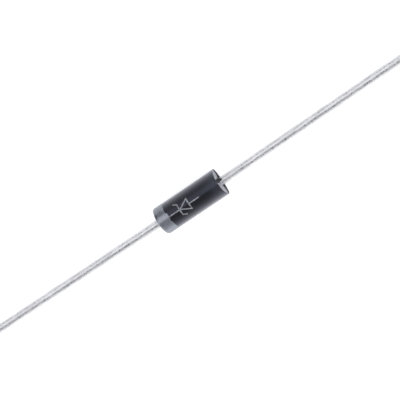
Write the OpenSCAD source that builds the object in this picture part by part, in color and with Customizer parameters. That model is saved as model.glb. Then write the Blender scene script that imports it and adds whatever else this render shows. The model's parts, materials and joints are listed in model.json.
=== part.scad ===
// Axial zener diode: a moulded case on two wire leads, with the silicon die soldered
// between the nail heads of the leads inside the moulding. Sizes are in millimetres.
// The leads run along X with the cathode toward -X. The two halves of the mould met in
// the XY plane, and the origin is the middle of the case.

/* [Case] */
// Diameter of the moulded case
case_d = 3.4; // [3:0.1:4.4]
// Length of the moulded case between its end faces
case_l = 8.7; // [7:0.1:11]
// Radius of the rounded edge at the cathode end
cathode_edge_r = 0.36; // [0.1:0.02:0.7]
// Radius of the crisp edge at the anode end
anode_edge_r = 0.05; // [0.02:0.01:0.3]
// Angle by which each half of the anode face leans back, so that the mould draws off
anode_draft = 4.5; // [0:0.5:6]
// Thickness of the flash in the parting plane
flash_w = 0.08; // [0.04:0.01:0.2]
// Height of the flash above the case's wall
flash_h = 0.02; // [0.01:0.01:0.1]
// Reach of the flash beyond each end face
end_flash = 0.12; // [0.02:0.02:0.2]

/* [Cathode band] */
// Bare rim between the cathode face and the band
band_start = 0.06; // [0.05:0.01:0.4]
// Distance from the cathode face to the far edge of the band, on the +Y side of its seams
band_w = 1.45; // [0.8:0.05:2.2]
// Extra width of the band on the -Y side of its seams, where the two printed parts miss each other
band_step = 0.2; // [0.05:0.05:0.4]
// Distance of the band's seams from the middle of the case, toward +Y
band_seam = 0.5; // [0:0.05:1]
// Thickness of the ink film
ink_t = 0.02; // [0.01:0.005:0.04]

/* [Leads] */
// Diameter of the lead wire
lead_d = 1; // [0.7:0.05:1.2]
// Length of each lead outside the case
lead_l = 27; // [10:0.5:40]
// Chamfer at the cut end of each lead
tip_chamfer = 0.1; // [0.05:0.01:0.2]
// Diameter of the nail head that carries the die
head_d = 1.9; // [1.6:0.1:2.3]
// Thickness of the nail head
head_t = 0.45; // [0.3:0.05:0.8]
// Diameter of the lead's shank under the nail head
shank_d = 1.3; // [1.25:0.05:1.5]
// Length of the cone between the nail head and the shank
neck_l = 0.3; // [0.1:0.05:0.5]
// Depth under the case's end at which the tapered shank reaches the wire's diameter
shank_depth = 0.02; // [0.01:0.01:0.1]

/* [Die] */
// Side of the square silicon die
die_w = 1.3; // [0.9:0.05:1.5]
// Thickness of the silicon die
die_t = 0.25; // [0.15:0.01:0.4]
// Diameter of the solder joint on each side of the die
solder_d = 1.2; // [0.8:0.05:1.4]
// Thickness of each solder joint
solder_t = 0.08; // [0.04:0.01:0.15]
// Thickness of the coating over the rim of the nail heads
coat_t = 0.2; // [0.1:0.05:0.3]
// Length by which the coating laps onto each nail head
coat_lap = 0.2; // [0.1:0.05:0.25]

/* [Hidden] */
$fn = 96;
case_r = case_d / 2;
case_half = case_l / 2;
cathode_face = -case_half;
stack_half = die_t / 2 + solder_t;
tip = case_half + lead_l;
coat_r = max(head_d, die_w * sqrt(2)) / 2 + coat_t;
coat_half = stack_half + coat_lap;

// Lays an upright turned shape along the leads, with its top toward the anode
module along_leads() {
    rotate([0, 90, 0]) children();
}

// Quarter disc in the corner that points outward and up, or down where up is -1
module quarter_disc(r, up) {
    intersection() {
        circle(r);
        polygon([[0, 0], [2 * r, 0], [0, 2 * r * up]]);
    }
}

// Half section of the case from its axis outward, grown evenly by a film's thickness
module case_section(grow) {
    r = case_r + grow;
    half = case_half + grow;
    low_r = cathode_edge_r + grow;
    high_r = anode_edge_r + grow;
    translate([0, -half]) square([r - low_r, low_r]);
    translate([r - low_r, low_r - half]) quarter_disc(low_r, -1);
    translate([0, low_r - half]) square([r, 2 * half - low_r - high_r]);
    translate([r - high_r, half - high_r]) quarter_disc(high_r, 1);
    translate([0, half - high_r]) square([r - high_r, high_r]);
}

// Block that trims the turned case to an anode face with draft on both halves
module draft_block(grow) {
    reach = case_d;
    edge = case_half + grow;
    lean = reach * tan(anode_draft);
    rotate([90, 0, 0])
        linear_extrude(2 * reach, center = true)
            polygon([
                [-case_l, -reach],
                [edge - lean, -reach],
                [edge, 0],
                [edge - lean, reach],
                [-case_l, reach]
            ]);
}

// Thin sheet in the parting plane, low along the walls and reaching further at the ends
module flash_form(grow) {
    linear_extrude(flash_w + 2 * grow, center = true)
        intersection() {
            rotate(-90)
                for (side = [0, 1])
                    mirror([side, 0]) case_section(end_flash + grow);
            square([2 * case_l, case_d + 2 * (flash_h + grow)], center = true);
        }
}

// The case as it leaves the mould, grown evenly by a film's thickness
module case_form(grow) {
    intersection() {
        along_leads() rotate_extrude() case_section(grow);
        draft_block(grow);
    }
    flash_form(grow);
}

// One lead, from its nail head on the solder to its cut end, drawn toward the anode
module lead_form() {
    along_leads()
        rotate_extrude()
            polygon([
                [0, stack_half],
                [head_d / 2, stack_half],
                [head_d / 2, stack_half + head_t],
                [shank_d / 2, stack_half + head_t + neck_l],
                [lead_d / 2, case_half - shank_depth],
                [lead_d / 2, tip - tip_chamfer],
                [lead_d / 2 - tip_chamfer, tip],
                [0, tip]
            ]);
}

// The bead of coating, still solid through the middle
module coating_form() {
    intersection() {
        sphere(coat_r);
        cube([2 * coat_half, 3 * coat_r, 3 * coat_r], center = true);
    }
}

// Solder on one face of the die, drawn toward the anode
module solder_form() {
    translate([die_t / 2, 0, 0])
        along_leads() cylinder(h = solder_t, d = solder_d);
}

// The stretch of the case that the ink covers, a little longer on the -Y side of its seams
module band_zone() {
    reach = case_d;
    start = cathode_face + band_start;
    length = band_w - band_start;
    translate([start, -reach, -reach]) cube([length, 2 * reach, 2 * reach]);
    translate([start, -reach, -reach]) cube([length + band_step, reach + band_seam, 2 * reach]);
}

// Black epoxy moulding, solid around the leads and the coated die
module moulded_body() {
    color("#2e3036")
        difference() {
            case_form(0);
            coating_form();
            lead_form();
            mirror([1, 0, 0]) lead_form();
        }
}

// Silver ink printed round the cathode end
module cathode_band() {
    color("#a2a6b0")
        intersection() {
            difference() {
                case_form(ink_t);
                case_form(0);
            }
            band_zone();
        }
}

// Tinned copper lead on the cathode side
module cathode_lead() {
    color("#c9c9ce") mirror([1, 0, 0]) lead_form();
}

// Tinned copper lead on the anode side
module anode_lead() {
    color("#c9c9ce") lead_form();
}

// Silicon chip that holds the junction
module zener_die() {
    color("#6b6f78") cube([die_t, die_w, die_w], center = true);
}

// Solder between the die and the cathode lead
module cathode_solder() {
    color("#b4b6ba") mirror([1, 0, 0]) solder_form();
}

// Solder between the die and the anode lead
module anode_solder() {
    color("#b4b6ba") solder_form();
}

// Silicone bead that seals the edge of the die and the gap between the nail heads
module junction_coating() {
    color("#e6e4dc")
        difference() {
            coating_form();
            cube([die_t, die_w, die_w], center = true);
            for (side = [0, 1])
                mirror([side, 0, 0]) {
                    solder_form();
                    lead_form();
                }
        }
}

moulded_body();
cathode_band();
cathode_lead();
anode_lead();
zener_die();
cathode_solder();
anode_solder();
junction_coating();
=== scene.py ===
import json
import math

import bmesh
import bpy
from mathutils import Matrix, Vector, noise


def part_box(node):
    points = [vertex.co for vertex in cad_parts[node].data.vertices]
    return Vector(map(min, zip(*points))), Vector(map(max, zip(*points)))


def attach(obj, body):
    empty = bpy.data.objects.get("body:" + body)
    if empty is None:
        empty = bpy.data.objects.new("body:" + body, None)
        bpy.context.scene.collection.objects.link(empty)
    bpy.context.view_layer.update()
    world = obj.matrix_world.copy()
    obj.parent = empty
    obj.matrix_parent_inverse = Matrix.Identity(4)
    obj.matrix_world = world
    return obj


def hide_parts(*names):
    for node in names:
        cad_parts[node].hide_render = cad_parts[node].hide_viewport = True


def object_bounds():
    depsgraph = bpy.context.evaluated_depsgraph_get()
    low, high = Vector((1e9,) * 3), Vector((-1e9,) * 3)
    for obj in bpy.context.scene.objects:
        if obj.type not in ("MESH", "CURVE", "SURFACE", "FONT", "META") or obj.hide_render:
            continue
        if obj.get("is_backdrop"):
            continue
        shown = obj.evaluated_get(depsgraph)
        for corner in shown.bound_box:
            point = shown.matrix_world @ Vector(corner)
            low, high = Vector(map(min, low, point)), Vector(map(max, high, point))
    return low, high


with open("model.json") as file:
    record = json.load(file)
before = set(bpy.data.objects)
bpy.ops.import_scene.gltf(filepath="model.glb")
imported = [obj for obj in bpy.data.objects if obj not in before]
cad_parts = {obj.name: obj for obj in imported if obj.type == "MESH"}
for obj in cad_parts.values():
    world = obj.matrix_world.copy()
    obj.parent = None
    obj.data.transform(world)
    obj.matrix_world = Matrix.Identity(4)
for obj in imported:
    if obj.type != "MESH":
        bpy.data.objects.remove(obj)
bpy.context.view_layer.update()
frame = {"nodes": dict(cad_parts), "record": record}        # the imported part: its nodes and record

bl_info = {
    "name": "Axial zener diode",
    "version": (1, 0, 0),
    "blender": (4, 5, 0),
    "location": "3D View > Sidebar > Diode",
    "description": "Dresses an axial diode: its case, printing and leads, in a white studio",
    "category": "Object",
}

MM = 0.001
BODY = "root"

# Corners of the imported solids, which set the places and the main sizes
CASE_LOW, CASE_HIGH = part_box("moulded_body")
ANODE_LOW, ANODE_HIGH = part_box("anode_lead")
COATING_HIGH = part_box("junction_coating")[1]

# Reach of the flash beyond each end face, which counts in the case's box
END_FLASH = 0.12 * MM

# Middle and reach in millimetres, and strength, of each mark where the band's ink is rubbed
RUBBED_MARKS = (
    ((-4.18, 0.7, 1.35), (0.48, 0.5, 0.6), 1.0),
    ((-3.6, 0.72, 1.52), (0.9, 0.3, 0.5), 0.45),
    ((-3.45, 1.0, 1.4), (0.18, 0.16, 0.4), 0.6),
    ((-3.6, 1.3, 1.1), (1.2, 0.36, 0.7), 0.3),
)

# Two faces that meet at more than this keep a crisp edge between them
SHARP_ANGLE = math.radians(32)

# Width of the camera's sensor and of the picture
SENSOR_MM = 36
PICTURE_PX = 400


def linear(hex_colour):
    """The linear colour, with full opacity, of an sRGB hex colour such as "#a0a4ae"."""
    channels = [int(hex_colour[i:i + 2], 16) / 255 for i in (1, 3, 5)]
    return [c / 12.92 if c <= 0.04045 else ((c + 0.055) / 1.055) ** 2.4 for c in channels] + [1.0]


def smooth_step(low, high, value):
    """0 below low, 1 above high and an even ramp with soft ends between them."""
    share = min(max((value - low) / (high - low), 0.0), 1.0)
    return share * share * (3 - 2 * share)


# Settings

def length_property(name, description, default):
    """A length in metres, shown in the scene's unit."""
    return bpy.props.FloatProperty(
        name=name, description=description, default=default, unit="LENGTH", precision=5)


def colour_property(name, description, hex_colour):
    """A colour given as sRGB hex and kept as linear values."""
    return bpy.props.FloatVectorProperty(
        name=name, description=description, default=linear(hex_colour), size=4, subtype="COLOR",
        min=0, max=1)


def angle_property(name, description, degrees):
    """An angle given in degrees."""
    return bpy.props.FloatProperty(
        name=name, description=description, default=math.radians(degrees), subtype="ANGLE")


def level_property(name, description, default):
    """A brightness, where 1 is white."""
    return bpy.props.FloatProperty(name=name, description=description, default=default, min=0)


class DiodeCase(bpy.types.PropertyGroup):
    """Sizes and colours of the moulded case."""
    diameter: length_property("Diameter", "Diameter of the case", 3.4 * MM)
    length: length_property(
        "Length", "Length between the end faces", CASE_HIGH.x - CASE_LOW.x - 2 * END_FLASH)
    cathode_edge: length_property("Cathode edge", "Radius of the rounded edge", 0.36 * MM)
    anode_edge: length_property("Anode edge", "Radius of the crisp edge", 0.05 * MM)
    draft: angle_property("Draft", "Lean of each half of the anode face", 4.5)
    flash_width: length_property(
        "Flash width", "Thickness of the flash in the parting plane", 0.08 * MM)
    flash_height: length_property("Flash height", "Height of the flash along the walls", 0.02 * MM)
    end_flash: length_property("End flash", "Reach of the flash beyond the end faces", END_FLASH)
    dark: colour_property("Dark", "Epoxy where the moulding skin is smooth", "#04040a")
    light: colour_property("Light", "Epoxy where filler shows through the skin", "#282a32")
    shine: colour_property("Shine", "Tint of the epoxy's reflections", "#bcc1de")
    bloom: colour_property("Bloom", "Tint of the epoxy seen along its surface", "#f5f6ff")
    # Also the colour of a dark lump on the anode lead, and of the flash's web there, which is partly painted shade
    torn: colour_property("Torn", "Epoxy torn at the parting line", "#424244")


class DiodeBand(bpy.types.PropertyGroup):
    """Sizes and colours of the printed cathode band."""
    start: length_property("Start", "Bare rim at the cathode face", 0.06 * MM)
    width: length_property(
        "Width", "From the cathode face to the band's far edge, on the +Y side of the seam", 1.45 * MM)
    step: length_property("Step", "Extra width on the -Y side of the seam", 0.2 * MM)
    seam: length_property("Seam", "Place of the seam beside the middle, toward +Y", 0.5 * MM)
    notch: length_property("Notch", "Depth of the chip in the far edge", 0.12 * MM)
    ink: length_property("Ink", "Thickness of the ink film", 0.02 * MM)
    wobble: length_property("Wobble", "Unevenness of the printed edge", 0.03 * MM)
    colour: colour_property("Colour", "Silver-grey ink", "#9397a0")
    worn: colour_property("Worn", "Ink rubbed thin", "#585a5f")


class DiodeLead(bpy.types.PropertyGroup):
    """Sizes and colours of the two leads."""
    diameter: length_property("Diameter", "Diameter of the wire", 1.0 * MM)
    chamfer: length_property("Chamfer", "Chamfer at the cut end", 0.1 * MM)
    head_diameter: length_property("Head", "Diameter of the nail head", ANODE_HIGH.z - ANODE_LOW.z)
    head_thickness: length_property("Head thickness", "Thickness of the nail head", 0.45 * MM)
    neck: length_property("Neck", "Length of the cone under the nail head", 0.3 * MM)
    shank_diameter: length_property("Shank", "Diameter under the neck", 1.3 * MM)
    buried: length_property("Buried wire", "Stretch of full wire under the case's end", 0.02 * MM)
    cathode_bow: length_property("Cathode bow", "Sideways offset of the cathode lead's tip", 0.24 * MM)
    anode_bow: length_property("Anode bow", "Sideways offset of the anode lead's tip", 0.14 * MM)
    relief: length_property("Relief", "Height of the handling dents", 0.01 * MM)
    colour: colour_property("Colour", "Tin plate", "#f6f6f7")
    dull: colour_property("Dull", "Tin plate that handling has dulled", "#e0e0e2")
    thin: colour_property("Thin", "Smooth specks where the tin is thin", "#8c8c92")
    edge: colour_property("Edge", "Tint of the tin seen along its surface", "#aeaeb2")


class DiodeSymbol(bpy.types.PropertyGroup):
    """Sizes and colour of the circuit symbol printed on the case."""
    length: length_property("Length", "Length of the symbol along the case", 4.2 * MM)
    height: length_property("Height", "Height of the symbol round the case", 1.9 * MM)
    stroke: length_property("Stroke", "Width of a line", 0.15 * MM)
    film: length_property("Film", "Thickness of the ink", 0.008 * MM)
    centre: length_property("Centre", "Place of the symbol's middle along the case", -0.55 * MM)
    turn: angle_property("Turn", "Angle of the symbol round the case, from the top", 2)
    colour: colour_property("Colour", "Pale marking ink", "#9fa1a7")


class DiodeStage(bpy.types.PropertyGroup):
    """Camera, floor and light."""
    distance: length_property("Distance", "From the camera to the middle of the picture", 139 * MM)
    lens: bpy.props.FloatProperty(
        name="Lens", description="Focal length in millimetres", default=108)
    lean: angle_property("Lean", "Lean of the view from straight down toward the anode", 13.3)
    rise: angle_property("Rise", "Angle at which the part rises to the right in the picture", 33.96)
    case_px: bpy.props.FloatVectorProperty(
        name="Case pixel", description="Place of the case's middle from the upper left corner",
        default=(190.7, 201.74), size=2)
    floor: colour_property("Floor", "White floor as it lights the part", "#e6e6e6")
    floor_gain: level_property(
        "Floor gain", "Brightness of the floor where it is seen, over its colour", 1.07)
    floor_glow: level_property("Floor glow", "Light of the floor where it is seen", 0.52)
    light: colour_property("Light", "Cool white of the walls and the soft box", "#fafbff")
    backdrop: angle_property(
        "Backdrop", "Height above the horizon up to which a white backdrop is seen", 10)
    wall_foot: angle_property(
        "Wall foot", "Height above the horizon up to which the walls have their full level", 24)
    wall_top: angle_property("Wall top", "Height above the horizon at which the walls end", 56)
    wall_level: level_property("Wall level", "Brightness of the walls", 0.48)
    box_near: angle_property("Soft box near", "Near edge of the soft box, from overhead toward +Y", -6)
    near_fade: angle_property("Near fade", "Width of the soft box's blurred near edge", 5)
    box_far: angle_property("Soft box far", "Far edge of the soft box, from overhead toward +Y", 40)
    far_fade: angle_property("Far fade", "Width of the soft box's blurred far edge", 44)
    box_level: level_property("Soft box level", "Brightness of the soft box", 1.37)
    dark_level: level_property(
        "Dark level", "Brightness of the room between the walls and the soft box", 0.1)
    lamp: bpy.props.FloatProperty(
        name="Lamp", description="Power of the broad lamp that brings up the light",
        default=0.6, unit="POWER")
    lamp_size: length_property("Lamp size", "Diameter of the broad lamp", 250 * MM)
    lamp_place: bpy.props.FloatVectorProperty(
        name="Lamp place", description="Middle of the broad lamp, which faces the part",
        default=(130 * MM, -200 * MM, 240 * MM), size=3, subtype="TRANSLATION", unit="LENGTH")


# Materials

def add_node(tree, kind, settings=None, inputs=None):
    """Add a node, set its properties and fill or link its inputs."""
    node = tree.nodes.new(kind)
    for name, value in (settings or {}).items():
        setattr(node, name, value)
    for name, value in (inputs or {}).items():
        if isinstance(value, bpy.types.NodeSocket):
            tree.links.new(value, node.inputs[name])
        else:
            node.inputs[name].default_value = value
    return node


def new_material(name):
    """An empty node material and its tree."""
    material = bpy.data.materials.new(name)
    material.use_nodes = True
    material.node_tree.nodes.clear()
    return material, material.node_tree


def show(tree, shader):
    """Link a shader node to the material's output."""
    add_node(tree, "ShaderNodeOutputMaterial", inputs={"Surface": shader.outputs[0]})


def seen_ray(tree):
    """1 for a ray that shows a surface, straight or in a reflection, and 0 for one that only lights."""
    path = add_node(tree, "ShaderNodeLightPath").outputs
    plain = add_node(tree, "ShaderNodeMath", {"operation": "MAXIMUM"}, {
        0: path["Is Camera Ray"], 1: path["Is Glossy Ray"]})
    return add_node(tree, "ShaderNodeMath", {"operation": "MAXIMUM"}, {
        0: plain.outputs[0], 1: path["Is Transmission Ray"]}).outputs[0]


def per_metre(size_mm):
    """Texture scale that gives a pattern of this size in millimetres."""
    return 1 / (size_mm * MM)


def moulded_epoxy(case):
    """Black silica-filled epoxy, transfer moulded in a spark-eroded mould.

    The mould's fine pits give a satin skin that is near black seen straight on and pale seen along
    the surface. It is duller in faint clouds and toward the anode end, where the filler shows
    through.
    """
    material, tree = new_material("Moulded black epoxy")
    place = add_node(tree, "ShaderNodeTexCoord").outputs["Object"]
    # Spark-eroded pits are about 0.02 mm, and are drawn at 0.07 mm so that they show
    pits = add_node(tree, "ShaderNodeTexNoise", inputs={
        "Vector": place, "Scale": per_metre(0.07), "Detail": 3.0, "Roughness": 0.6})
    clouds = add_node(tree, "ShaderNodeTexNoise", inputs={
        "Vector": place, "Scale": per_metre(0.6), "Detail": 4.0, "Roughness": 0.6})
    share = add_node(tree, "ShaderNodeMapRange", inputs={
        "Value": clouds.outputs["Fac"], "From Min": 0.35, "From Max": 0.7, "To Max": 0.25})
    along = add_node(tree, "ShaderNodeSeparateXYZ", inputs={"Vector": place})
    # Places along the case where the dull stretch starts and where it is full
    dull_start = 2.0 * MM
    dull_full = 4.3 * MM
    end = add_node(tree, "ShaderNodeMapRange", {"interpolation_type": "SMOOTHSTEP"}, {
        "Value": along.outputs["X"], "From Min": dull_start, "From Max": dull_full})
    dull = add_node(tree, "ShaderNodeMath", {"operation": "ADD", "use_clamp": True}, {
        0: share.outputs[0], 1: end.outputs[0]})
    colour = add_node(tree, "ShaderNodeMix", {"data_type": "RGBA"}, {
        "Factor": dull.outputs[0], "A": case.dark, "B": case.light})
    gloss = add_node(tree, "ShaderNodeMapRange", inputs={
        "Value": dull.outputs[0], "To Min": 0.07, "To Max": 0.26})
    bump = add_node(tree, "ShaderNodeBump", inputs={
        "Height": pits.outputs["Fac"], "Strength": 0.5, "Distance": 0.01 * MM})
    show(tree, add_node(tree, "ShaderNodeBsdfPrincipled", inputs={
        "Base Color": colour.outputs["Result"], "Roughness": gloss.outputs[0],
        "Normal": bump.outputs["Normal"], "IOR": 1.51, "Specular Tint": case.shine,
        "Sheen Weight": 0.98, "Sheen Roughness": 0.485, "Sheen Tint": case.bloom}))
    return material


def torn_epoxy(case):
    """Black silica-filled epoxy: the flash, torn off where the mould opened, and a dark lump on the anode lead.

    The broken filler gives it a matte dark grey surface with no sheen; on the web at the anode lead this dark grey
    is also painted shade.
    """
    material, tree = new_material("Torn black epoxy")
    place = add_node(tree, "ShaderNodeTexCoord").outputs["Object"]
    # Broken filler is about 0.02 mm, and is drawn at 0.05 mm so that it shows
    grains = add_node(tree, "ShaderNodeTexNoise", inputs={
        "Vector": place, "Scale": per_metre(0.05), "Detail": 4.0, "Roughness": 0.65})
    colour = add_node(tree, "ShaderNodeMix", {"data_type": "RGBA"}, {
        "Factor": grains.outputs["Fac"], "A": case.dark, "B": case.torn})
    bump = add_node(tree, "ShaderNodeBump", inputs={
        "Height": grains.outputs["Fac"], "Strength": 0.5, "Distance": 0.01 * MM})
    show(tree, add_node(tree, "ShaderNodeBsdfPrincipled", inputs={
        "Base Color": colour.outputs["Result"], "Roughness": 0.85, "IOR": 1.45,
        "Normal": bump.outputs["Normal"]}))
    return material


def rubbed_mark(tree, place, centre_mm, reach_mm, strength):
    """A mark at this place on the part, full in its middle and 0 past its reach along each axis."""
    centred = add_node(tree, "ShaderNodeMapping", {"vector_type": "TEXTURE"}, {
        "Vector": place, "Location": MM * Vector(centre_mm), "Scale": MM * Vector(reach_mm)})
    away = add_node(tree, "ShaderNodeVectorMath", {"operation": "LENGTH"}, {0: centred.outputs[0]})
    mark = add_node(tree, "ShaderNodeMapRange", inputs={
        "Value": away.outputs["Value"], "From Min": 1.0, "From Max": 0.5, "To Max": strength})
    return mark.outputs[0]


def silver_ink(band):
    """Silver-grey marking ink, rolled on and cured.

    Its metal flakes give a soft metallic sheen over a grey film. It is thin in patches, and is
    rubbed thinnest at the rounded edge and in a streak beside the seam.
    """
    material, tree = new_material("Silver marking ink")
    place = add_node(tree, "ShaderNodeTexCoord").outputs["Object"]
    rub = add_node(tree, "ShaderNodeTexNoise", inputs={
        "Vector": place, "Scale": per_metre(0.45), "Detail": 5.0, "Roughness": 0.65})
    share = add_node(tree, "ShaderNodeMapRange", inputs={
        "Value": rub.outputs["Fac"], "From Min": 0.52, "From Max": 0.75, "To Max": 0.5})
    ragged = add_node(tree, "ShaderNodeTexNoise", inputs={
        "Vector": place, "Scale": per_metre(0.2), "Detail": 3.0, "Roughness": 0.6})
    centred = add_node(tree, "ShaderNodeVectorMath", {"operation": "SUBTRACT"}, {
        0: ragged.outputs["Color"], 1: [0.5] * 3})
    # The outlines of the marks wander to both sides, over this width
    wander = 0.4 * MM
    moved = add_node(tree, "ShaderNodeVectorMath", {"operation": "MULTIPLY_ADD"}, {
        0: centred.outputs[0], 1: [wander] * 3, 2: place})
    worn = share.outputs[0]
    for centre_mm, reach_mm, strength in RUBBED_MARKS:
        mark = rubbed_mark(tree, moved.outputs[0], centre_mm, reach_mm, strength)
        deeper = add_node(tree, "ShaderNodeMath", {"operation": "MAXIMUM"}, {0: worn, 1: mark})
        worn = deeper.outputs[0]
    colour = add_node(tree, "ShaderNodeMix", {"data_type": "RGBA"}, {
        "Factor": worn, "A": band.colour, "B": band.worn})
    # Flakes are about 0.02 mm, and are drawn at 0.06 mm so that they show
    flakes = add_node(tree, "ShaderNodeTexNoise", inputs={
        "Vector": place, "Scale": per_metre(0.06), "Detail": 2.0})
    gloss = add_node(tree, "ShaderNodeMapRange", inputs={
        "Value": rub.outputs["Fac"], "From Min": 0.3, "From Max": 0.7, "To Min": 0.2, "To Max": 0.3})
    bump = add_node(tree, "ShaderNodeBump", inputs={
        "Height": flakes.outputs["Fac"], "Strength": 0.4, "Distance": 0.004 * MM})
    show(tree, add_node(tree, "ShaderNodeBsdfPrincipled", inputs={
        "Base Color": colour.outputs["Result"], "Metallic": 0.5, "Roughness": gloss.outputs[0],
        "Normal": bump.outputs["Normal"]}))
    return material


def tinned_copper(lead):
    """Tin-plated copper wire, drawn and then dipped.

    It is bright and soft, and greyer seen along its surface. It has lines along the wire from
    drawing, dull patches, and small specks where the tin is thick and grainy or else thin, smooth
    and darker.
    """
    material, tree = new_material("Tinned copper wire")
    place = add_node(tree, "ShaderNodeTexCoord").outputs["Object"]
    # Drawing lines are about 0.01 mm wide, and are drawn at 0.06 mm so that they show
    stretched = add_node(tree, "ShaderNodeMapping", inputs={
        "Vector": place, "Scale": (per_metre(3.0), per_metre(0.06), per_metre(0.06))})
    lines = add_node(tree, "ShaderNodeTexNoise", inputs={
        "Vector": stretched.outputs[0], "Scale": 1.0, "Detail": 3.0, "Roughness": 0.6})
    drawn_out = add_node(tree, "ShaderNodeMapping", inputs={
        "Vector": place, "Scale": (per_metre(1.6), per_metre(0.35), per_metre(0.35))})
    patches = add_node(tree, "ShaderNodeTexNoise", inputs={
        "Vector": drawn_out.outputs[0], "Scale": 1.0, "Detail": 4.0, "Roughness": 0.6})
    share = add_node(tree, "ShaderNodeMapRange", inputs={
        "Value": patches.outputs["Fac"], "From Min": 0.45, "From Max": 0.7})
    colour = add_node(tree, "ShaderNodeMix", {"data_type": "RGBA"}, {
        "Factor": share.outputs[0], "A": lead.colour, "B": lead.dull})
    specks = add_node(tree, "ShaderNodeTexNoise", inputs={
        "Vector": place, "Scale": per_metre(0.2), "Detail": 2.0, "Roughness": 0.6})
    bare = add_node(tree, "ShaderNodeMapRange", inputs={
        "Value": specks.outputs["Fac"], "From Min": 0.52, "From Max": 0.3, "To Max": 0.34})
    speckled = add_node(tree, "ShaderNodeMix", {"data_type": "RGBA"}, {
        "Factor": bare.outputs[0], "A": colour.outputs["Result"], "B": lead.thin})
    gloss = add_node(tree, "ShaderNodeMapRange", inputs={
        "Value": specks.outputs["Fac"], "From Min": 0.36, "From Max": 0.64,
        "To Min": 0.27, "To Max": 0.66})
    dents = add_node(tree, "ShaderNodeBump", inputs={
        "Height": specks.outputs["Fac"], "Strength": 0.5, "Distance": 0.006 * MM})
    bump = add_node(tree, "ShaderNodeBump", inputs={
        "Height": lines.outputs["Fac"], "Strength": 0.5, "Distance": 0.004 * MM,
        "Normal": dents.outputs["Normal"]})
    show(tree, add_node(tree, "ShaderNodeBsdfPrincipled", inputs={
        "Base Color": speckled.outputs["Result"], "Metallic": 0.83, "Roughness": gloss.outputs[0],
        "Normal": bump.outputs["Normal"], "Specular Tint": lead.edge}))
    return material


def pale_ink(symbol, case):
    """Pale grey marking ink, pad printed in a thin film that leaves the epoxy showing in places."""
    material, tree = new_material("Pale marking ink")
    place = add_node(tree, "ShaderNodeTexCoord").outputs["Object"]
    gaps = add_node(tree, "ShaderNodeTexNoise", inputs={
        "Vector": place, "Scale": per_metre(0.16), "Detail": 4.0, "Roughness": 0.7})
    share = add_node(tree, "ShaderNodeMapRange", inputs={
        "Value": gaps.outputs["Fac"], "From Min": 0.4, "From Max": 0.62, "To Max": 0.85})
    colour = add_node(tree, "ShaderNodeMix", {"data_type": "RGBA"}, {
        "Factor": share.outputs[0], "A": symbol.colour, "B": case.light})
    bump = add_node(tree, "ShaderNodeBump", inputs={
        "Height": gaps.outputs["Fac"], "Strength": 0.3, "Distance": 0.004 * MM})
    show(tree, add_node(tree, "ShaderNodeBsdfPrincipled", inputs={
        "Base Color": colour.outputs["Result"], "Roughness": 0.4, "Normal": bump.outputs["Normal"],
        "Sheen Weight": 0.8, "Sheen Roughness": 0.49}))
    return material


def grained(name, dark, light, grain_mm, metallic, roughness):
    """A plain inner material with an even grain: sawn silicon, reflowed solder or cured silicone."""
    material, tree = new_material(name)
    place = add_node(tree, "ShaderNodeTexCoord").outputs["Object"]
    grain = add_node(tree, "ShaderNodeTexNoise", inputs={
        "Vector": place, "Scale": per_metre(grain_mm), "Detail": 4.0})
    colour = add_node(tree, "ShaderNodeMix", {"data_type": "RGBA"}, {
        "Factor": grain.outputs["Fac"], "A": linear(dark), "B": linear(light)})
    bump = add_node(tree, "ShaderNodeBump", inputs={
        "Height": grain.outputs["Fac"], "Strength": 0.3, "Distance": 0.003 * MM})
    show(tree, add_node(tree, "ShaderNodeBsdfPrincipled", inputs={
        "Base Color": colour.outputs["Result"], "Metallic": metallic, "Roughness": roughness,
        "Normal": bump.outputs["Normal"]}))
    return material


# Meshes

def ring(x, radius, angles):
    """Points round the leads' axis, from +Y toward +Z."""
    return [Vector((x, radius * math.cos(a), radius * math.sin(a))) for a in angles]


def even_angles(count):
    """Angles of evenly spaced points round a circle."""
    return [math.tau * i / count for i in range(count)]


def case_angles():
    """Angles round the case, closer together beside the parting line on both sides."""
    step = 3
    close_offsets = (0.5, 0.9, 1.35, 2.0)
    coarse = [math.radians(step * i) for i in range(360 // step)]
    beside = [math.radians(middle + side * offset) % math.tau
              for middle in (0, 180) for side in (-1, 1) for offset in close_offsets]
    return sorted(coarse + beside)


def add_rings(mesh, rings, closed):
    """Join rings of points in order, closed into a loop or else capped at both ends."""
    rows = [[mesh.verts.new(point) for point in points] for points in rings]
    pairs = list(zip(rows, rows[1:]))
    if closed:
        pairs.append((rows[-1], rows[0]))
    else:
        mesh.faces.new(rows[0])
        mesh.faces.new(rows[-1])
    for near, far in pairs:
        for i in range(len(near)):
            mesh.faces.new((near[i - 1], near[i], far[i], far[i - 1]))


def finished_mesh(name, mesh):
    """Turn a bmesh into mesh data with outward faces, smooth shading and crisp corners."""
    bmesh.ops.recalc_face_normals(mesh, faces=mesh.faces)
    for face in mesh.faces:
        face.smooth = True
    for edge in mesh.edges:
        edge.smooth = edge.calc_face_angle(0.0) < SHARP_ANGLE
    data = bpy.data.meshes.new(name)
    mesh.to_mesh(data)
    mesh.free()
    return data


def join_rings(name, rings, closed):
    """Mesh data of one set of rings."""
    mesh = bmesh.new()
    add_rings(mesh, rings, closed)
    return finished_mesh(name, mesh)


def place_piece(name, data, material, slot, *nodes):
    """Add a piece of the diode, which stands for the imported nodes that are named."""
    piece = bpy.data.objects.new(name, data)
    bpy.context.scene.collection.objects.link(piece)
    data.materials.append(material)
    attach(piece, BODY)
    if nodes:
        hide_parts(*nodes)


def noise_round(angle, circle, level):
    """Noise that runs smoothly round the axis, read on a circle of this radius at this level."""
    return noise.noise((circle * math.cos(angle), circle * math.sin(angle), level))


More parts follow.
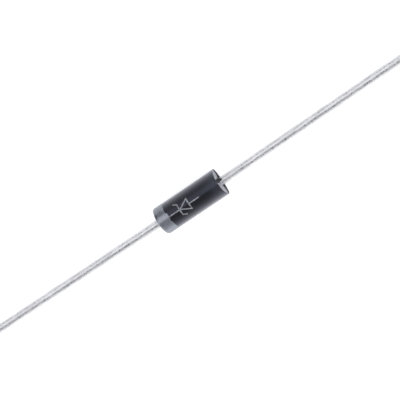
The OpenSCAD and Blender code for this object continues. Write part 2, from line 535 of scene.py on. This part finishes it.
def flash_lift(case, x, z):
    """Height of the flash along the wall, at this place beside the parting plane."""
    # Share of the width that is level on top, and length of one wave along the wall
    crest = 0.4
    wave = 0.5 * MM
    ridge = 1 - smooth_step(crest, 1.0, abs(z) / (case.flash_width / 2))
    uneven = 0.7 + 0.3 * noise.noise((x / wave, 0, 3.1))
    return case.flash_height * ridge * uneven


def lean_back(case, x, z):
    """How far the draft of the anode face moves the case's skin back at this place."""
    half = case.length / 2
    # Stretch of wall over which the points move back less and less
    blend = 2 * MM
    share = smooth_step(half - blend, half - case.anode_edge, x)
    return abs(z) * math.tan(case.draft) * share


def case_skin(case, hole):
    """The case's half section as stretches of skin, from the cathode's hole to the anode's.

    Each stretch is its length and a function from a run along it to x, the radius and the
    outward direction along x and along the radius.
    """
    half = case.length / 2
    radius = case.diameter / 2
    soft = case.cathode_edge
    crisp = case.anode_edge

    def cathode_face(run):
        return -half, hole + run, -1, 0

    def cathode_edge(run):
        out, along = math.sin(run / soft), math.cos(run / soft)
        return soft * (1 - along) - half, radius - soft * (1 - out), -along, out

    def wall(run):
        return soft - half + run, radius, 0, 1

    def anode_edge(run):
        along, out = math.sin(run / crisp), math.cos(run / crisp)
        return half - crisp * (1 - along), radius - crisp * (1 - out), along, out

    def anode_face(run):
        return half, radius - crisp - run, 1, 0

    return [
        (radius - soft - hole, cathode_face),
        (soft * math.pi / 2, cathode_edge),
        (case.length - soft - crisp, wall),
        (crisp * math.pi / 2, anode_edge),
        (radius - crisp - hole, anode_face),
    ]


def skin_point(case, stretch_point, angle, lift):
    """A point at this angle and this lift above the case's skin, flash included."""
    x, radius, along, out = stretch_point
    z = radius * math.sin(angle)
    lift += out * flash_lift(case, x, z)
    height = radius + out * lift
    back = lean_back(case, x, z)
    return Vector((x - back + along * lift, height * math.cos(angle), height * math.sin(angle)))


def on_skin(skin, run):
    """The skin at a run from the cathode's hole."""
    for length, stretch in skin[:-1]:
        if run <= length:
            return stretch(run)
        run -= length
    return skin[-1][1](run)


def lead_profile(case, lead):
    """Half section of a lead as x and radius, from the nail head to the case's end face."""
    head = ANODE_LOW.x
    return [
        (head, lead.head_diameter / 2),
        (head + lead.head_thickness, lead.head_diameter / 2),
        (head + lead.head_thickness + lead.neck, lead.shank_diameter / 2),
        (case.length / 2 - lead.buried, lead.diameter / 2),
    ]


# Operators

class DIODE_OT_case(bpy.types.Operator):
    """Build the moulded case with its flash and the cavity round the leads and the die"""
    bl_idname = "diode.case"
    bl_label = "Moulded case"

    def execute(self, context):
        case = context.scene.diode_case
        lead = context.scene.diode_lead
        material = moulded_epoxy(case)
        skin = case_skin(case, lead.diameter / 2)
        data = join_rings("moulded_case", self.shell(case, lead, skin), closed=True)
        place_piece("moulded_case", data, material, "moulding_epoxy", "moulded_body")
        mesh = bmesh.new()
        cathode_end = skin[0][0] + skin[1][0]
        anode_end = skin[3][0] + skin[4][0]
        whole = sum(length for length, _ in skin)
        for side in (-1, 1):
            add_rings(mesh, self.fin(case, skin, 0, cathode_end, side, 0), closed=False)
            # At the anode end the flash thickens into a web at the lead, which is partly painted shade
            add_rings(mesh, self.fin(case, skin, whole, whole - anode_end, side, 1), closed=False)
        # A dark matte lump from the anode rim onto the lead's upper side goes into the same mesh
        add_rings(mesh, self.rim_lump(case, lead), closed=False)
        data = finished_mesh("mould_flash", mesh)
        place_piece("mould_flash", data, torn_epoxy(case), "moulding_epoxy")
        return {"FINISHED"}

    def shell(self, case, lead, skin):
        """Rings over the case's skin and back through the cavity inside it."""
        angles = case_angles()
        rings = []
        ring_counts = (8, 10, 90, 5, 8)
        for (length, stretch), count in zip(skin, ring_counts):
            for i in range(count):
                point = stretch(length * i / count)
                rings.append([skin_point(case, point, a, 0) for a in angles])
        length, stretch = skin[-1]
        rings.append([skin_point(case, stretch(length), a, 0) for a in angles])
        # The cavity follows the anode lead inward, the coated die, and the cathode lead outward
        bead_half = COATING_HIGH.x
        bead_radius = COATING_HIGH.z
        shank = [(x, r) for x, r in lead_profile(case, lead)[-2::-1] if x > bead_half]
        shank.append((bead_half, lead.head_diameter / 2))
        bead = []
        bead_steps = 8
        for i in range(bead_steps + 1):
            x = bead_half * (1 - 2 * i / bead_steps)
            bead.append((x, math.sqrt(bead_radius ** 2 - x ** 2)))
        cavity = shank + bead + [(-x, r) for x, r in shank[::-1]]
        return rings + [ring(x, r, angles) for x, r in cavity]

    def fin(self, case, skin, start, stop, side, swell):
        """Rings of the flash beyond an end face, from the lead outward to the wall on one side.

        Where swell is 1 it thickens at the lead into a web that is partly real flash and partly painted shade, a
        dark mass that stands for the shade beside the lead. Where it is 0 it stays thin.
        """
        rings = []
        count = 60
        # Depth of the root inside the case, and length of one tear along the edge
        root_depth = 0.06 * MM
        tear = 0.22 * MM
        # Share of the reach that tearing leaves, and how much that varies
        left = 0.68
        varies = 0.6
        # Share of the run after which the flash falls to its height along the wall
        fall = 0.75
        # Distances from the lead up to which the web, flash that is also painted shade beside the lead, is full and
        # at which it ends
        flash_and_shade_web_full = 0.05 * MM
        flash_and_shade_web_end = (0.54 - 0.1 * side) * MM
        # Gain by which the web thickens at the lead, into a dark mass of flash and painted shade
        flash_and_shade_web_gain = 6.5
        first_radius = on_skin(skin, start)[1]
        for i in range(count + 1):
            share = i / count
            x, radius, along, out = on_skin(skin, start + (stop - start) * share)
            # Torn short along the face and low where it meets the wall
            torn = left + varies * noise.noise((radius / tear, side, x / MM))
            # Web of flash at the lead, thickened to also be painted shade beside the lead
            flash_and_shade_web = swell * (1 - smooth_step(flash_and_shade_web_full, flash_and_shade_web_end, radius - first_radius))
            fade = 1 - smooth_step(fall, 1.0, share)
            reach = case.flash_height + (case.end_flash - case.flash_height) * fade * min(torn + flash_and_shade_web, 1)
            root = case.flash_width / 2 * (1 + flash_and_shade_web_gain * flash_and_shade_web)
            crest = 0.75 * root
            section = ((-root_depth, root), (reach, crest), (reach, -crest), (-root_depth, -root))
            rings.append([
                Vector((x + along * depth, side * (radius + out * depth), height))
                for depth, height in section])
        return rings

    def rim_lump(self, case, lead):
        """Rings of a dark matte lump from the anode rim onto the lead's upper side.

        Each ring is half an oval that stands on a line inside the case, from upright at the rim to
        lying along the lead.
        """
        rings = []
        count = 30
        radius = lead.diameter / 2
        top = case.diameter / 2 - 0.02 * MM
        foot_x = case.length / 2 - 0.13 * MM
        foot_z = radius - 0.1 * MM
        reach = 0.52 * MM
        # Places toward +Y and half widths, at the rim and at the end on the lead
        rim_y = 0.28 * MM
        end_y = 0.24 * MM
        rim_width = 0.36 * MM
        end_width = 0.09 * MM
        # How far the run strays sideways, by what share its width varies, and how deep its end sinks
        stray = 0.08 * MM
        varies = 0.45
        end_depth = 0.03 * MM
        # Powers that make the slope hollow and the ovals blunt
        hollow = 1.8
        blunt = 0.45
        arc_steps = 18
        angles = [math.pi * (j / arc_steps - 0.5) for j in range(arc_steps + 1)]
        for i in range(count + 1):
            share = i / count
            y = rim_y + (end_y - rim_y) * share + stray * noise.noise((share * 3, 4.0, 1.0))
            width = rim_width + (end_width - rim_width) * share
            width *= 1 + varies * noise.noise((share * 6, 2.0, 0.5))
            low = math.sqrt(radius ** 2 - y ** 2) - end_depth
            slope = low + (top - low) * (1 - share) ** hollow
            stand = Vector((reach * share, 0, slope - foot_z))
            rings.append([
                Vector((foot_x, y + width * math.sin(a), foot_z)) + stand * max(math.cos(a), 0) ** blunt
                for a in angles])
        return rings


class DIODE_OT_band(bpy.types.Operator):
    """Print the silver cathode band round the rounded end of the case"""
    bl_idname = "diode.band"
    bl_label = "Cathode band"

    def execute(self, context):
        case = context.scene.diode_case
        band = context.scene.diode_band
        skin = case_skin(case, context.scene.diode_lead.diameter / 2)
        angles = case_angles()
        edges = [self.edges(case, band, skin, a) for a in angles]
        count = 36
        # Share of the width over which the film thins toward an edge, and what is left of it there
        thinning = 0.05
        thinnest = 0.15
        outer = []
        inner = []
        for i in range(count + 1):
            share = i / count
            feather = smooth_step(0, thinning, share) * smooth_step(0, thinning, 1 - share)
            film = band.ink * (thinnest + (1 - thinnest) * feather)
            points = [on_skin(skin, first + (last - first) * share) for first, last in edges]
            outer.append([skin_point(case, p, a, film) for p, a in zip(points, angles)])
            inner.append([skin_point(case, p, a, 0) for p, a in zip(points, angles)])
        data = join_rings("cathode_ink_band", outer + inner[::-1], closed=True)
        place_piece("cathode_ink_band", data, silver_ink(band), "silver_ink", "cathode_band")
        return {"FINISHED"}

    def edges(self, case, band, skin, angle):
        """Runs along the skin to the band's near and far edge at this angle."""
        y = case.diameter / 2 * math.cos(angle)
        seam_blur = 0.06 * MM
        chip_width = 0.16 * MM
        first = skin[0][0] + case.cathode_edge * math.acos(1 - band.start / case.cathode_edge)
        last = skin[0][0] + skin[1][0] + band.width - case.cathode_edge
        first += band.wobble * noise_round(angle, circle=3, level=7)
        last += band.wobble * noise_round(angle, circle=4, level=1)
        last += band.step * smooth_step(-seam_blur, seam_blur, band.seam - y)
        if math.sin(angle) > 0:
            # A chip on the upper side, as far from the middle as the seam but toward -Y
            last -= band.notch * math.exp(-((y + band.seam) / chip_width) ** 2)
        return first, last


class DIODE_OT_leads(bpy.types.Operator):
    """Draw the two tinned leads with their nail heads, cut ends and handling dents"""
    bl_idname = "diode.leads"
    bl_label = "Leads"

    def execute(self, context):
        case = context.scene.diode_case
        lead = context.scene.diode_lead
        material = tinned_copper(lead)
        for node, side, bow in (
                ("cathode_lead", -1, lead.cathode_bow), ("anode_lead", 1, lead.anode_bow)):
            data = self.wire(node + "_wire", case, lead, side, bow)
            place_piece(node + "_wire", data, material, "tinned_copper", node)
        return {"FINISHED"}

    def wire(self, name, case, lead, side, bow):
        """One lead toward this side, whose tip lies off the axis by the bow."""
        angles = even_angles(64)
        radius = lead.diameter / 2
        exit_x = case.length / 2
        tip = ANODE_HIGH.x
        rings = [ring(side * x, r, angles) for x, r in lead_profile(case, lead)]
        count = 240
        # Length of a dent, and radius of the circle in the noise that goes once round the wire
        dent = 0.9 * MM
        circle = 1.1
        straight = tip - lead.chamfer - exit_x
        for i in range(1, count + 1):
            x = exit_x + straight * i / count
            offset = Vector((0, bow * (x - exit_x) / (tip - exit_x), 0))
            points = []
            for a in angles:
                place = (side * x / dent, circle * math.cos(a), circle * math.sin(a))
                dented = radius + lead.relief * noise.noise(place)
                points.append(offset + Vector((side * x, dented * math.cos(a), dented * math.sin(a))))
            rings.append(points)
        end = Vector((0, bow, 0))
        rings.append([end + point for point in ring(side * tip, radius - lead.chamfer, angles)])
        return join_rings(name, rings, closed=False)


class DIODE_OT_symbol(bpy.types.Operator):
    """Print the circuit symbol of a zener diode on the case"""
    bl_idname = "diode.symbol"
    bl_label = "Circuit symbol"

    def execute(self, context):
        case = context.scene.diode_case
        symbol = context.scene.diode_symbol
        half = symbol.length / 2
        tall = symbol.height / 2
        arm = 0.72 * tall
        wing = 0.24 * symbol.height
        back = 0.34 * symbol.height
        edge = symbol.stroke / 2
        bar = [(-back + wing, tall), (-back, arm), (-back, -arm), (-back - wing, -tall)]
        triangle = [(back, arm), (-back + edge, 0), (back, -arm)]
        mesh = bmesh.new()
        self.stroke(mesh, bar, symbol.stroke, closed=False)
        self.stroke(mesh, triangle, symbol.stroke, closed=True)
        self.stroke(mesh, [(-half, 0), (-back - edge, 0)], symbol.stroke, closed=False)
        self.stroke(mesh, [(back + edge, 0), (half, 0)], symbol.stroke, closed=False)
        lower = list(mesh.faces)
        raised = bmesh.ops.extrude_face_region(mesh, geom=lower, use_keep_orig=True)["geom"]
        for part in raised:
            if isinstance(part, bmesh.types.BMVert):
                part.co.z = symbol.film
        radius = case.diameter / 2
        for vert in mesh.verts:
            x, across, lift = vert.co
            angle = math.pi / 2 + symbol.turn + across / radius
            vert.co = skin_point(case, (symbol.centre + x, radius, 0, 1), angle, lift)
        data = finished_mesh("printed_symbol", mesh)
        place_piece("printed_symbol", data, pale_ink(symbol, case), "silver_ink")
        return {"FINISHED"}

    def stroke(self, mesh, points, width, closed):
        """Add a line of this width through the points, mitred at corners and cut into short steps."""
        points = [Vector(p) for p in points]
        count = len(points)
        sides = []
        for i, point in enumerate(points):
            before = point - points[i - 1] if closed or i > 0 else None
            after = points[(i + 1) % count] - point if closed or i < count - 1 else None
            directions = [d.normalized() for d in (before, after) if d is not None]
            normals = [Vector((-d.y, d.x)) for d in directions]
            mitre = sum(normals, Vector((0, 0))).normalized()
            reach = width / 2 / mitre.dot(normals[0])
            sides.append((point + mitre * reach, point - mitre * reach))
        if closed:
            sides.append(sides[0])
        rows = []
        step = 0.1 * MM
        for (left, right), (next_left, next_right) in zip(sides, sides[1:]):
            parts = max(1, round((next_left - left).length / step))
            for i in range(parts):
                rows.append((left.lerp(next_left, i / parts), right.lerp(next_right, i / parts)))
        if not closed:
            rows.append(sides[-1])
        verts = [[mesh.verts.new((p.x, p.y, 0)) for p in row] for row in rows]
        if closed:
            verts.append(verts[0])
        for near, far in zip(verts, verts[1:]):
            mesh.faces.new((near[0], near[1], far[1], far[0]))


class DIODE_OT_inside(bpy.types.Operator):
    """Give the die, the solder and the coating inside the case their finishes"""
    bl_idname = "diode.inside"
    bl_label = "Die, solder and coating"

    def execute(self, context):
        finishes = {
            # Sawn silicon is dark grey with a half-metallic shine
            "silicon": grained("Sawn silicon", "#4c505a", "#666b76", 0.05, 0.6, 0.28),
            # Reflowed solder is dull and slightly grainy
            "solder": grained("Reflowed solder", "#9a9ca1", "#b9bbbf", 0.08, 1.0, 0.42),
            # Cured silicone is milky and soft
            "silicone": grained("Cured silicone", "#dcdad0", "#ece9e0", 0.2, 0.0, 0.5),
        }
        for part in frame["record"]["subparts"]:
            finish = finishes.get(part["material_slot"])
            if finish is not None:
                data = frame["nodes"][part["node"]].data
                data.materials.clear()
                data.materials.append(finish)
        return {"FINISHED"}


class DIODE_OT_stage(bpy.types.Operator):
    """Set up the white floor, the studio light and the camera"""
    bl_idname = "diode.stage"
    bl_label = "Stage"

    def execute(self, context):
        stage = context.scene.diode_stage
        context.scene.view_settings.view_transform = "Standard"
        self.floor(context, stage)
        self.dome(context, stage)
        self.fill_lamp(context, stage)
        self.camera(context, stage)
        return {"FINISHED"}

    def floor(self, context, stage):
        """A wide white sheet under the part, which keeps the part's shadow.

        Where it is seen, straight or in a reflection, it is overexposed as a white ground in a
        picture is. It lights the part as plain white paper does.
        """
        material, tree = new_material("White studio floor")
        seen = seen_ray(tree)
        glow = add_node(tree, "ShaderNodeMath", {"operation": "MULTIPLY"}, {
            0: seen, 1: stage.floor_glow})
        bright = [stage.floor_gain * c for c in stage.floor]
        colour = add_node(tree, "ShaderNodeMix", {"data_type": "RGBA"}, {
            "Factor": seen, "A": stage.floor, "B": bright})
        paper = add_node(tree, "ShaderNodeBsdfDiffuse", inputs={"Color": colour.outputs["Result"]})
        light = add_node(tree, "ShaderNodeEmission", inputs={"Strength": glow.outputs[0]})
        show(tree, add_node(tree, "ShaderNodeAddShader", inputs={
            0: paper.outputs[0], 1: light.outputs[0]}))
        data = bpy.data.meshes.new("studio_floor")
        reach = 2.0
        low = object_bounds()[0].z
        corners = [(x * reach, y * reach, low) for x, y in ((-1, -1), (1, -1), (1, 1), (-1, 1))]
        data.from_pydata(corners, [], [(0, 1, 2, 3)])
        data.materials.append(material)
        piece = bpy.data.objects.new("studio_floor", data)
        context.scene.collection.objects.link(piece)
        piece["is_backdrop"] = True

    def dome(self, context, stage):
        """Pale walls, a soft box overhead on the +Y side, and a dim room between them.

        Low down the walls end in a backdrop that is as white as the floor where it is seen.
        """
        world = bpy.data.worlds.new("White studio")
        context.scene.world = world
        world.use_nodes = True
        tree = world.node_tree
        tree.nodes.clear()
        way = add_node(tree, "ShaderNodeTexCoord").outputs["Generated"]
        parts = add_node(tree, "ShaderNodeSeparateXYZ", inputs={"Vector": way}).outputs
        walls = add_node(tree, "ShaderNodeMapRange", {"interpolation_type": "SMOOTHSTEP"}, {
            "Value": parts["Z"], "From Min": math.sin(stage.wall_top),
            "From Max": math.sin(stage.wall_foot), "To Max": stage.wall_level})
        turn = add_node(tree, "ShaderNodeMath", {"operation": "ARCTAN2"}, {
            0: parts["Y"], 1: parts["Z"]})
        near = add_node(tree, "ShaderNodeMapRange", {"interpolation_type": "SMOOTHSTEP"}, {
            "Value": turn.outputs[0], "From Min": stage.box_near - stage.near_fade / 2,
            "From Max": stage.box_near + stage.near_fade / 2})
        far = add_node(tree, "ShaderNodeMapRange", {"interpolation_type": "SMOOTHSTEP"}, {
            "Value": turn.outputs[0], "From Min": stage.box_far + stage.far_fade / 2,
            "From Max": stage.box_far - stage.far_fade / 2, "To Max": stage.box_level})
        box = add_node(tree, "ShaderNodeMath", {"operation": "MULTIPLY"}, {
            0: near.outputs[0], 1: far.outputs[0]})
        level = add_node(tree, "ShaderNodeMath", {"operation": "MAXIMUM"}, {
            0: walls.outputs[0], 1: box.outputs[0]})
        level = add_node(tree, "ShaderNodeMath", {"operation": "MAXIMUM"}, {
            0: level.outputs[0], 1: stage.dark_level})
        backdrop_end = 1.5 * stage.backdrop
        low = add_node(tree, "ShaderNodeMapRange", {"interpolation_type": "SMOOTHSTEP"}, {
            "Value": parts["Z"], "From Min": math.sin(backdrop_end),
            "From Max": math.sin(stage.backdrop)})
        backdrop = add_node(tree, "ShaderNodeMath", {"operation": "MULTIPLY"}, {
            0: seen_ray(tree), 1: low.outputs[0]})
        level = add_node(tree, "ShaderNodeMath", {"operation": "MAXIMUM"}, {
            0: level.outputs[0], 1: backdrop.outputs[0]})
        colour = add_node(tree, "ShaderNodeMix", {"data_type": "RGBA"}, {
            "Factor": backdrop.outputs[0], "A": stage.light, "B": linear("#ffffff")})
        light = add_node(tree, "ShaderNodeBackground", inputs={
            "Color": colour.outputs["Result"], "Strength": level.outputs[0]})
        add_node(tree, "ShaderNodeOutputWorld", inputs={"Surface": light.outputs[0]})

    def fill_lamp(self, context, stage):
        """A broad lamp that brings the light on the part up to a plain level, unseen in its gloss."""
        lamp = bpy.data.lights.new("fill", "AREA")
        lamp.shape = "DISK"
        lamp.size = stage.lamp_size
        lamp.energy = stage.lamp
        piece = bpy.data.objects.new("fill", lamp)
        context.scene.collection.objects.link(piece)
        piece.location = stage.lamp_place
        piece.rotation_euler = Vector(stage.lamp_place).to_track_quat("Z", "Y").to_euler()
        piece.visible_glossy = False
        piece.visible_camera = False

    def camera(self, context, stage):
        """Look down on the part as the picture does, with the case at its pixel."""
        data = bpy.data.cameras.new("camera")
        data.sensor_width = SENSOR_MM
        data.lens = stage.lens
        data.clip_start = 5 * MM
        data.clip_end = 20
        along = Vector((math.cos(stage.lean), 0, -math.sin(stage.lean)))
        across = Vector((0, 1, 0))
        right = math.cos(stage.rise) * along - math.sin(stage.rise) * across
        up = math.sin(stage.rise) * along + math.cos(stage.rise) * across
        back = right.cross(up)
        px = stage.distance * SENSOR_MM / stage.lens / PICTURE_PX
        aim = right * (PICTURE_PX / 2 - stage.case_px[0]) * px
        aim -= up * (PICTURE_PX / 2 - stage.case_px[1]) * px
        piece = bpy.data.objects.new("camera", data)
        context.scene.collection.objects.link(piece)
        turned = Matrix((right, up, back)).transposed().to_4x4()
        piece.matrix_world = Matrix.Translation(aim + back * stage.distance) @ turned
        context.scene.camera = piece


# Panel and registration

class DIODE_PT_sidebar(bpy.types.Panel):
    """The diode's pieces and their sizes"""
    bl_idname = "DIODE_PT_sidebar"
    bl_label = "Axial diode"
    bl_space_type = "VIEW_3D"
    bl_region_type = "UI"
    bl_category = "Diode"

    def draw(self, context):
        for operator, group in STEPS:
            box = self.layout.box()
            box.operator(operator.bl_idname)
            if group is not None:
                settings = getattr(context.scene, group)
                for name in settings.__annotations__:
                    box.prop(settings, name)


GROUPS = {
    "diode_case": DiodeCase,
    "diode_band": DiodeBand,
    "diode_lead": DiodeLead,
    "diode_symbol": DiodeSymbol,
    "diode_stage": DiodeStage,
}
STEPS = (
    (DIODE_OT_case, "diode_case"),
    (DIODE_OT_band, "diode_band"),
    (DIODE_OT_leads, "diode_lead"),
    (DIODE_OT_symbol, "diode_symbol"),
    (DIODE_OT_inside, None),
    (DIODE_OT_stage, "diode_stage"),
)


def register():
    """Register the settings, the operators and the panel."""
    for name, group in GROUPS.items():
        bpy.utils.register_class(group)
        setattr(bpy.types.Scene, name, bpy.props.PointerProperty(type=group))
    for operator, _ in STEPS:
        bpy.utils.register_class(operator)
    bpy.utils.register_class(DIODE_PT_sidebar)


def unregister():
    """Take back what register added."""
    bpy.utils.unregister_class(DIODE_PT_sidebar)
    for operator, _ in reversed(STEPS):
        bpy.utils.unregister_class(operator)
    for name, group in reversed(GROUPS.items()):
        delattr(bpy.types.Scene, name)
        bpy.utils.unregister_class(group)


def main():
    """Build every piece and the stage."""
    register()
    bpy.ops.diode.case()
    bpy.ops.diode.band()
    bpy.ops.diode.leads()
    bpy.ops.diode.symbol()
    bpy.ops.diode.inside()
    bpy.ops.diode.stage()


if __name__ == "__main__":
    main()
